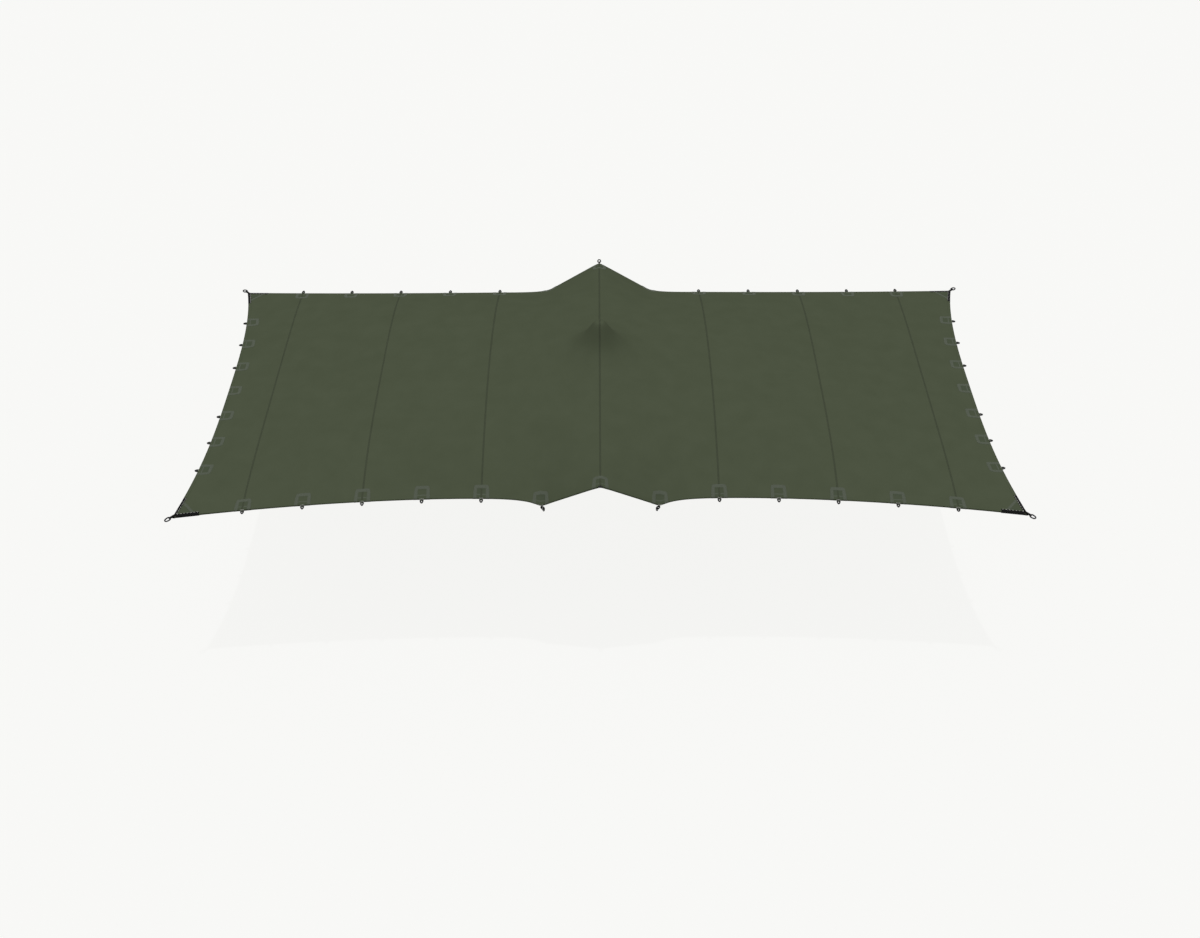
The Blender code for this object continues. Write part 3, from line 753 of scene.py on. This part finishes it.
def paintBand(piece, inBand):
    # gives the faces whose middle lies on a raised band the webbing's material
    mesh = piece.data
    mesh.materials.append(bandWebbing)
    spots = np.empty(len(mesh.loops) * 2)
    mesh.uv_layers["cloth"].data.foreach_get("uv", spots)
    starts = np.empty(len(mesh.polygons), np.int32)
    mesh.polygons.foreach_get("loop_start", starts)
    spots = spots.reshape(-1, 2)
    middle = (spots[starts] + spots[starts + 1] + spots[starts + 2]) / 3
    mesh.polygons.foreach_set("material_index", inBand(middle).astype(np.int32))


def onPatchBand(at):
    # the horseshoe along three sides, and the thin strip beside the fold
    look = patchLooks
    inside = np.minimum(look["halfWidth"] - np.abs(at[:, 0]), look["depth"] - at[:, 1])
    low, high = look["crossBand"]
    return (inside < look["bandWidth"]) | ((at[:, 1] > low) & (at[:, 1] < high))


def makePatches():
    rods, tacks = [], []
    for side, places in tabs.items():
        slabs = [slabBody(*patchGrids(side, tab)) for tab in places]
        paintBand(makePiece(f"{side}_tab_patches", slabs, patchCloth), onPatchBand)
        tacks += [tackStitches(side, tab) for tab in places]
        rods += [patchRow(side, tab, inset, below) for tab in places for inset in patchLooks["rows"]
                 for below in (False, True)]
    rodPiece("patch_stitches", rods, oliveThread)
    return rodPiece("tab_bar_tacks", tacks, paleThread)


barTacks = makePatches()
print("tab patches made, bar tacks:", len(barTacks.data.polygons), "faces")


# Lapped seams between the cloth widths

seamLooks = {
    "width": 0.024,
    "half": 0.0017,
    "rows": (-0.0065, 0.0065),
    "grooveWidth": 0.002,
    "grooveDepth": 0.0005,
    "endInset": 0.013,
    "endRun": 0.165,        # length of its finely divided ends, which lie on tab patches
    "overPatch": 0.0008,
    "steps": (0.011, 0.041, 0.3, 1.2),
    # drawn longer than real ones, whose pitch is 4 mm, so that they show
    "stitch": {"pitch": 0.016, "length": 0.011, "width": 0.0016, "height": 0.0008, "sink": 0.0004},
}


def seamProfile(count=15):
    # closed cross-section of a flat sewn layer, rounded at its sides, with a dip along each stitch row
    look = seamLooks
    share = np.sin(np.linspace(-1, 1, count) * math.pi / 2)
    across = share * look["width"] / 2
    top = look["half"] * np.sqrt(np.clip(1 - np.abs(share) ** 8, 0.02, 1))
    for row in look["rows"]:
        top = top - look["grooveDepth"] * np.exp(-((across - row) / look["grooveWidth"]) ** 2)
    upper = np.stack([across, top], axis=1)
    return np.concatenate([upper, (upper * (1, -1))[::-1]])


def seamRise(x, y):
    # how much higher a seam's top lies where it crosses the inner field of a tab patch
    depth = longEdge(x) - np.abs(y)
    field = patchLooks["depth"] - patchLooks["bandWidth"]
    over = patchLift(0.0, depth) + seamLooks["overPatch"] - seamLooks["half"]
    return over * (1 - smooth(field - 0.004, field + 0.002, depth))


def makeSeams():
    look = seamLooks
    rods = []
    for number in range(-3, 4):
        middle = 2 * canopy["tabStep"] * number
        reach = float(longEdge(middle)) - look["endInset"]
        ends = np.linspace(reach - look["endRun"], reach, 24)
        y = stations(reach - look["endRun"] - 0.005, widening(*look["steps"]))
        y = np.concatenate([-ends[::-1], y, ends])
        x = np.full_like(y, middle)
        rise = seamRise(x, y)
        seam = band(x, y, np.tile([1.0, 0.0], (len(y), 1)), seamProfile(), rise)
        makePiece(f"lapped_seam_{number + 4}", [seam], seamCloth, [f"seam_{number + 4}"])
        lift = look["half"] - look["stitch"]["sink"]
        for row in look["rows"]:
            rods.append(rowStitches(x + row, y, lift + rise, look["stitch"]))
            rods.append(rowStitches(x + row, y, -lift, look["stitch"], True))
    return rodPiece("seam_stitches", rods, oliveThread)


seamStitches = makeSeams()
print("seams and their stitches:", len(seamStitches.data.polygons), "faces")


# Rings and loops on the tabs. Bars are about twice as thick as real ones, which would vanish from afar.

ringLooks = {
    "sides": 10,
    "bar": 0.0088,           # radius of an ordinary ring's bar
    "half": 0.0156,          # half its width
    "base": 0.009,           # its flat bar and its tip are this far out from the edge
    "length": 0.047,
    "looseBar": 0.0080,      # hanging rings and those at the tips
    "looseHalf": 0.0205,
    "looseLength": 0.041,
    "linkBar": 0.0088,       # corner links
    "linkHalf": 0.0250,
    "linkLength": 0.066,
    "shackleBar": 0.0062,
    "shackleRadius": 0.0185,
    "backRise": 0.14,        # slope of the back rings outwards
    "neck": 0.024,           # length of the tips' loops
    "hangingNeck": 0.040,    # and of the hanging ones, which reach past the bead
    "neckRoot": 0.010,       # both start this far inside the edge
    "tipTilt": math.radians(41),
    "dropTilt": math.radians(24),
    "clear": 0.0004,         # between a hanging ring and its shackle
}
loopLooks = {
    "width": 0.017,
    "looseWidth": 0.0215,
    "reach": 0.002,          # how far inside its seat a loop starts: ordinary, at a tip and hanging
    "tipReach": 0.0085,
    "hangingReach": -0.004,
    "thick": 0.0016,
    "eyeClear": 0.0006,      # between the webbing and the bar
    "eyeTurn": 2.55,         # the eye's arc runs this far to both sides, in radians
}
looseWithin = {"front": 1.5 * canopy["tabStep"], "back": 1.5 * canopy["tabStep"],
               "left": 0.5 * canopy["sideStep"], "right": 0.5 * canopy["sideStep"]}


def mirrored(right):
    # a closed outline from its right half
    return np.array(right + [(-u, v) for u, v in reversed(right)])


def tabRing(seat):
    # a rounded triangle of bar, its flat base beside the fold and its tip outwards
    look = ringLooks
    wide, length = look["half"] * 1.05, look["length"]
    right = [(wide, look["base"] - 0.001), (wide, 0.5 * length), (0.36 * look["half"], length)]
    return ringTube(roundedPath(mirrored(right)), look["bar"], seat)


def eyeRing(seat, length, bar, half):
    # a long eye with a straight bar at v = 0 and a round far end
    shares = ((0.93, 0), (1, 0.24), (1, 0.55), (0.76, 0.86), (0.30, 1))
    right = [(across * half, along * length) for across, along in shares]
    return ringTube(roundedPath(mirrored(right), rounds=2), bar, seat)


def loopBody(seat, length, width, bar, reach):
    # webbing folded round a bar at v = length: two layers from the cloth that part to a round eye
    look = loopLooks
    across = np.linspace(-width / 2, width / 2, 9)
    turn = np.linspace(-look["eyeTurn"], look["eyeTurn"], 15)

    def face(radius):
        arc = np.stack([length + radius * np.cos(turn), radius * np.sin(turn)], axis=1)
        start = np.array([[-reach, -radius * 0.32]])
        return np.concatenate([start, arc, start * (1, -1)])
    inner = face(bar + look["eyeClear"])
    outer = face(bar + look["eyeClear"] + look["thick"])
    loop = np.concatenate([outer, inner[::-1]])
    middle = np.concatenate([(outer + inner) / 2, ((outer + inner) / 2)[::-1]])
    edge = 1 - 0.25 * (np.abs(across) / (width / 2)) ** 10
    v, w = np.moveaxis(middle + (loop - middle) * edge[:, None, None], -1, 0)
    rings = seatPoints(seat, across[:, None], v, w)
    ends = seatPoints(seat, across[[0, -1], None], middle[:, 0], middle[:, 1])
    rings = np.concatenate([ends[:1], rings, ends[1:]])
    along = np.concatenate([across[:1], across, across[-1:]])
    return grid(rings, everyPair(along, lengthTo(loop))[..., ::-1], wrapColumns=True)


def ringSeat(side, tab):
    # an ordinary tab's seat, at the height of the bead's middle; at the back it starts at the cloth and is
    # nearly level, because the rings show above the edge there
    seat = edgeSeat(side, tab)
    if side == "back":
        level = unit(seat["v"] * (1, 1, 0))
        return makeSeat(seat["origin"], seat["u"], level + np.array([0, 0, ringLooks["backRise"]]))
    return {**seat, "origin": seat["origin"] + seat["w"] * hemLooks["beadLift"]}


def tipSeat(side):
    # a seat whose v rises from a raised tip
    edge, tilt = edgeSeat(side, 0.0), ringLooks["tipTilt"]
    out = edge["v"] * math.cos(tilt) + edge["w"] * math.sin(tilt)
    return makeSeat(edge["origin"] - edge["v"] * ringLooks["neckRoot"], edge["u"], out)


def hangingSeat(side, place, lean):
    # a seat whose v hangs down, leaning sideways
    edge, tilt = edgeSeat(side, place), ringLooks["dropTilt"]
    down = np.array([lean * math.sin(tilt), 0, -math.cos(tilt)])
    return makeSeat(edge["origin"] - edge["v"] * ringLooks["neckRoot"], edge["u"], down)


def looseSeats():
    # seats of the eight tabs whose rings are loose, by the ring's name
    seats = {}
    for side in longSides:
        seats[f"{side}_middle"] = tipSeat(side)
        for word, sign in (("left", -1), ("right", 1)):
            seats[f"{side}_{word}"] = hangingSeat(side, sign * canopy["tabStep"], -sign)
    for side in ("left", "right"):
        seats[f"{side}_side"] = hangingSeat(side, 0.0, 0)
    return seats


def shackle(hook):
    # a round ring that hangs through the far end of a hanging ring
    look = ringLooks
    inside = look["looseLength"] - look["looseBar"] - look["clear"]
    drop = inside - look["shackleBar"] + look["shackleRadius"]
    turn = np.linspace(0, 2 * math.pi, 41)[:-1]
    circle = look["shackleRadius"] * np.stack([np.cos(turn), np.sin(turn)], axis=1)
    return ringTube(circle, look["shackleBar"], makeSeat(moved(hook, drop)["origin"], hook["w"], hook["v"]))


def makeRings():
    look, strip = ringLooks, loopLooks
    spots = [(side, tab) for side, places in tabs.items() for tab in places if abs(tab) > looseWithin[side]]
    seats = [ringSeat(*spot) for spot in spots]
    makePiece("tab_rings", [tabRing(seat) for seat in seats], blackSteel)
    loops = [loopBody(seat, look["base"], strip["width"], look["bar"], strip["reach"]) for seat in seats]
    makePiece("olive_ring_loops", loops, bandWebbing)
    loops = []
    for name, seat in looseSeats().items():
        neck, reach = look["hangingNeck"], strip["hangingReach"]
        if name.endswith("middle"):
            neck, reach = look["neck"], strip["tipReach"]
        hook = moved(seat, neck)
        ring = eyeRing(hook, look["looseLength"], look["looseBar"], look["looseHalf"])
        makePiece(f"loose_ring_{name}", [ring], blackSteel, [f"ring_{name}"])
        loops.append(loopBody(seat, neck, strip["looseWidth"], look["looseBar"], reach))
        if name in corners:
            # the rings beside the tips are named like the corners, and each carries a shackle
            makePiece(f"round_shackle_{name}", [shackle(hook)], brightSteel,
                      [f"shackle_{name}"])
    makePiece("ring_loops", loops, blackWebbing)
    return len(seats) + len(loops)


ringCount = makeRings()
print("tab rings:", ringCount)


# Corner webbing, its tail loop and the polished link

cornerLooks = {
    "length": 0.32,
    "inner": 0.039,         # the webbing reaches this far in from the edge
    "flat": 0.030,          # and lies flat down to here, before it bends over the bead
    "thick": 0.0042,
    "over": 0.0040,         # lift of its underside on the fold
    "beadClear": 0.0008,
    "tail": 0.040,
    "tailWidth": 0.0285,
    "tailReach": 0.030,
    "seatLift": 0.0082,     # the tail leaves the corner this much over the cloth's middle layer
    "dash": {"pitch": 0.036, "length": 0.025, "width": 0.0046, "height": 0.0010, "sink": 0.0003},
    "dashInset": 0.0345,
    "pathPoints": 24,       # on each arm
    "gusset": 0.290,        # legs of the three-sided cloth patch between the arms
    "gussetStart": 0.018,
    "gussetBand": 0.030,
}


def cornerSeat(side, end, step=0.05):
    # v points outwards along the diagonal, in the plane of the cloth
    corner = clothPoint(side * canopy["cornerX"], end * canopy["cornerY"])
    up = clothNormal(side * (canopy["cornerX"] - step), end * (canopy["cornerY"] - step))
    out = np.array([side, end, 0.0]) / math.sqrt(2)
    out = out - up * np.dot(out, up)
    return makeSeat(corner + up * cornerLooks["seatLift"], np.cross(out, up), out)


def cornerPath(side, end, inset):
    # plan path round a corner at a distance from both edges, from the long side to the short side
    away = np.linspace(cornerLooks["length"], inset + 0.0001, cornerLooks["pathPoints"])
    x = canopy["cornerX"] - away
    y = canopy["cornerY"] - away[::-1]
    long = np.stack([x, longEdge(x) - inset], axis=1)
    short = np.stack([sideEdge(y) - inset, y], axis=1)
    return np.concatenate([long, short]) * (side, end)


def strapProfile():
    # webbing folded round the bead: its outer face, then its inner face back
    look = cornerLooks
    bead, thick = hemLooks["bead"] + look["beadClear"], look["thick"]
    top = np.array([[look["inner"], look["over"]], [look["inner"] - 0.0005, look["over"] + thick * 0.7],
                    [look["inner"] - 0.002, look["over"] + thick], [look["flat"], look["over"] + thick]])
    back = np.array([[look["flat"], look["over"] - 0.0010]])
    return np.concatenate([top, beadArc(bead + thick, 80, -120, 16), beadArc(bead, -120, 80, 12), back])


def cornerStrap(side, end):
    # the profile's places are insets from the edge, so the webbing turns the corner with a mitre
    profile = strapProfile()
    paths = np.stack([cornerPath(side, end, at) for at in profile[:, 0]], axis=1)
    rings = clothPoint(paths[..., 0], paths[..., 1], profile[:, 1])
    return cappedTube(rings, lengthTo(paths[:, 0]), lengthTo(profile))


def gussetLift(i, j):
    # base layer, raised over the fold of the hem, with a band along the long slant side
    look = cornerLooks
    strip = bandStrip((look["gusset"] - i - j) / math.sqrt(2), look["gussetBand"])
    over = 1 - smooth(*patchLooks["foldEnd"], np.minimum(i, j))
    return patchLooks["base"] + (hemLooks["half"] - 0.0002) * over + patchLooks["bandRise"] * strip


def gussetPlan(side, end, i, j):
    # i and j are distances from the short and the long edge
    y = canopy["cornerY"] - j
    x = sideEdge(y) - i
    return side * x, end * (longEdge(x) - j)


def gussetBody(side, end):
    # rows run from the corner to the slant side, and share runs from the long edge to the short one
    look = cornerLooks
    start = look["gussetStart"]
    border = np.array([0, 0.0012, 0.003, 0.008, 0.016, 0.026, 0.034, 0.0385, 0.0405, 0.0430])
    rows = np.concatenate([np.linspace(0.0, 0.19, 9), look["gusset"] - 2 * start - border[::-1]])
    share = np.concatenate([np.linspace(0, 0.2, 8), np.linspace(0.24, 0.76, 12), np.linspace(0.8, 1, 8)])
    r, q = np.meshgrid(rows, share, indexing="ij")
    i, j = start + r * q, start + r * (1 - q)
    x, y = gussetPlan(side, end, i, j)
    lift = gussetLift(i, j)
    return slabBody(clothPoint(x, y, lift), clothPoint(x, y, -lift), np.stack([i, j], axis=-1))


def onGussetBand(at):
    return (cornerLooks["gusset"] - at.sum(axis=1)) / math.sqrt(2) < cornerLooks["gussetBand"]


def gussetRows(side, end):
    rods = []
    for inset in patchLooks["rows"]:
        total = cornerLooks["gusset"] - inset * math.sqrt(2) * 0.9
        i = np.linspace(2 * cornerLooks["gussetStart"], total - 2 * cornerLooks["gussetStart"], 60)
        x, y = gussetPlan(side, end, i, total - i)
        lift = gussetLift(i, total - i) - patchLooks["stitch"]["sink"]
        rods.append(rowStitches(x, y, lift, patchLooks["stitch"]))
        rods.append(rowStitches(x, y, -lift, patchLooks["stitch"], True))
    return rods


def makeCorners():
    look, ring = cornerLooks, ringLooks
    dashes, rows = [], []
    for word, (side, end) in corners.items():
        seat = cornerSeat(side, end)
        tail = loopBody(seat, look["tail"], look["tailWidth"], ring["linkBar"], look["tailReach"])
        makePiece(f"corner_webbing_{word}", [cornerStrap(side, end), tail], blackWebbing,
                  [f"corner_strap_{word}"])
        link = eyeRing(moved(seat, look["tail"]), ring["linkLength"], ring["linkBar"], ring["linkHalf"])
        makePiece(f"corner_link_{word}", [link], brightSteel, [f"corner_ring_{word}"])
        gusset = makePiece(f"corner_gusset_{word}", [gussetBody(side, end)], patchCloth)
        paintBand(gusset, onGussetBand)
        rows += gussetRows(side, end)
        lift = look["over"] + look["thick"] - look["dash"]["sink"]
        for arm in np.split(cornerPath(side, end, look["dashInset"]), 2):
            dashes.append(rowStitches(*arm.T, lift, look["dash"]))
    rodPiece("corner_pale_stitches", dashes, paleThread)
    rodPiece("gusset_stitches", rows, oliveThread)


makeCorners()
print("corners made:", len(corners))


# Pad under the peak

padLooks = {"radius": 0.0348, "thickness": 0.0078, "rim": 0.55, "hem": 0.004, "hemDepth": 0.0006}


def makePad():
    # a sewn disc with a flat underside: full in the middle and rounded over its rim by an eighth power
    look = padLooks
    turn = np.linspace(0, 2 * math.pi, 65)[:-1]
    outer = 0.8 + 0.2 * np.sin(np.linspace(0.15, 1, 8) * math.pi / 2)
    share = np.concatenate([[0], np.linspace(0.15, 0.8, 8), outer])
    radius = share * look["radius"]
    stitch = look["hemDepth"] * np.exp(-((radius - look["radius"] + look["hem"]) / 0.0008) ** 2)
    full = look["rim"] + (1 - look["rim"]) * np.sqrt(np.clip(1 - share ** 8, 0, 1))
    top = np.stack([radius, look["thickness"] * full - stitch], axis=1)
    low = np.stack([radius[::-1], 0.0 * share], axis=1)
    low[:3, 1] = (0.0012, 0.0005, 0.0001)
    away, rise = (column[:, None] for column in np.concatenate([top, low]).T)
    points = np.stack(np.broadcast_arrays(away * np.cos(turn), away * np.sin(turn), rise), axis=-1)
    disc = grid(points, points[..., :2], wrapColumns=True)
    pad = makePiece("peak_pad_cushion", [disc], padCotton, ["peak_pad"])


makePad()
print("pad made")

sewnOn = [f"{side}_folded_hem" for side in tabs] + [f"{side}_tab_patches" for side in tabs]
sewnOn += [f"lapped_seam_{number}" for number in range(1, 8)]
sewnOn += [f"corner_gusset_{word}" for word in corners]
sewnOn += ["hem_stitches", "patch_stitches", "tab_bar_tacks", "seam_stitches", "gusset_stitches"]


# Stage: pale floor and soft white light, with a sun straight above

stageLooks = {
    "floor": "#F8F8F6",
    "glow": 0.895 / 0.941,   # share of the floor's brightness that doesn't depend on the lamp
    "tone": 0.048,           # its own reflectance, which shows the faint shadow
    "sun": 1.66,
    "sunAngle": math.radians(0.5),
    "sunHeight": 6,
    "world": 0.462,
    "floorHalf": 150.0,
    "wallRadius": 140.0,
    "wallTop": 60.0,
    "wallSides": 48,
}
cameraLooks = {
    "lens": 42.853,
    "sensor": 36.0,
    "place": (-0.0258, -15.6468, 10.6655),
    "heading": -0.0973,      # degrees
    "down": 40.152,
    "roll": -0.1243,
    "clipEnd": 1000.0,
}


def addStage(name, points, faces, material):
    mesh = bpy.data.meshes.new(name)
    mesh.from_pydata(points, [], faces)
    mesh.materials.append(material)
    stage = bpy.data.objects.new(name, mesh)
    bpy.context.scene.collection.objects.link(stage)
    stage.visible_diffuse = False
    return stage


def studioPaint(name, tone, glow):
    # Matt studio paint, lit so evenly that most of its brightness is drawn as glow
    made, tree, shader = newMaterial(name)
    setInputs(tree, shader, {
        "Base Color": (tone, tone, tone, 1.0), "Roughness": 1.0, "Specular IOR Level": 0.0,
        "Emission Color": hexColour(stageLooks["floor"]), "Emission Strength": glow,
    })
    return made


def makeStage():
    # a square floor, and a round wall with a flat roof round it all
    look = stageLooks
    half, top, sides = look["floorHalf"], look["wallTop"], look["wallSides"]
    square = [(x * half, y * half, floorZ) for x, y in ((-1, -1), (1, -1), (1, 1), (-1, 1))]
    paint = studioPaint("paleStudioFloor", look["tone"], look["glow"])
    addStage("pale_floor", square, [(0, 1, 2, 3)], paint)
    here = np.arange(sides)
    turn, after = here * 2 * math.pi / sides, (here + 1) % sides
    circle = look["wallRadius"] * np.stack([np.cos(turn), np.sin(turn)], axis=1)
    points = np.concatenate([np.c_[circle, np.full(sides, z)] for z in (floorZ, top)] + [[(0, 0, top)]])
    walls = np.stack([here, here + sides, after + sides, after], axis=1).tolist()
    roof = np.stack([here + sides, np.full(sides, 2 * sides), after + sides], axis=1).tolist()
    paint = studioPaint("paleBackdropPaint", 0.0, 1.0)
    wall = addStage("pale_backdrop", points.tolist(), walls + roof, paint)
    wall.visible_shadow = False


def makeLight():
    scene = bpy.context.scene
    world = bpy.data.worlds.new("soft_white")
    world.use_nodes = True
    setInputs(world.node_tree, world.node_tree.nodes["Background"],
              {"Color": (1.0, 1.0, 1.0, 1.0), "Strength": stageLooks["world"]})
    scene.world = world
    scene.view_settings.view_transform = "Standard"
    sun = bpy.data.lights.new("overhead_sun", "SUN")
    sun.energy = stageLooks["sun"]
    sun.angle = stageLooks["sunAngle"]
    lamp = bpy.data.objects.new("overhead_sun", sun)
    scene.collection.objects.link(lamp)
    lamp.location = (0, 0, stageLooks["sunHeight"])


def makeCamera():
    look = cameraLooks
    view = bpy.data.cameras.new("photo_view")
    view.lens = look["lens"]
    view.sensor_width = look["sensor"]
    view.clip_end = look["clipEnd"]
    camera = bpy.data.objects.new("photo_view", view)
    bpy.context.scene.collection.objects.link(camera)
    turns = (look["heading"], "Z"), (90 - look["down"], "X"), (look["roll"], "Z")
    heading, tilt, roll = (Matrix.Rotation(math.radians(angle), 4, axis) for angle, axis in turns)
    camera.matrix_world = Matrix.Translation(look["place"]) @ heading @ tilt @ roll
    bpy.context.scene.camera = camera


makeStage()
makeLight()
makeCamera()
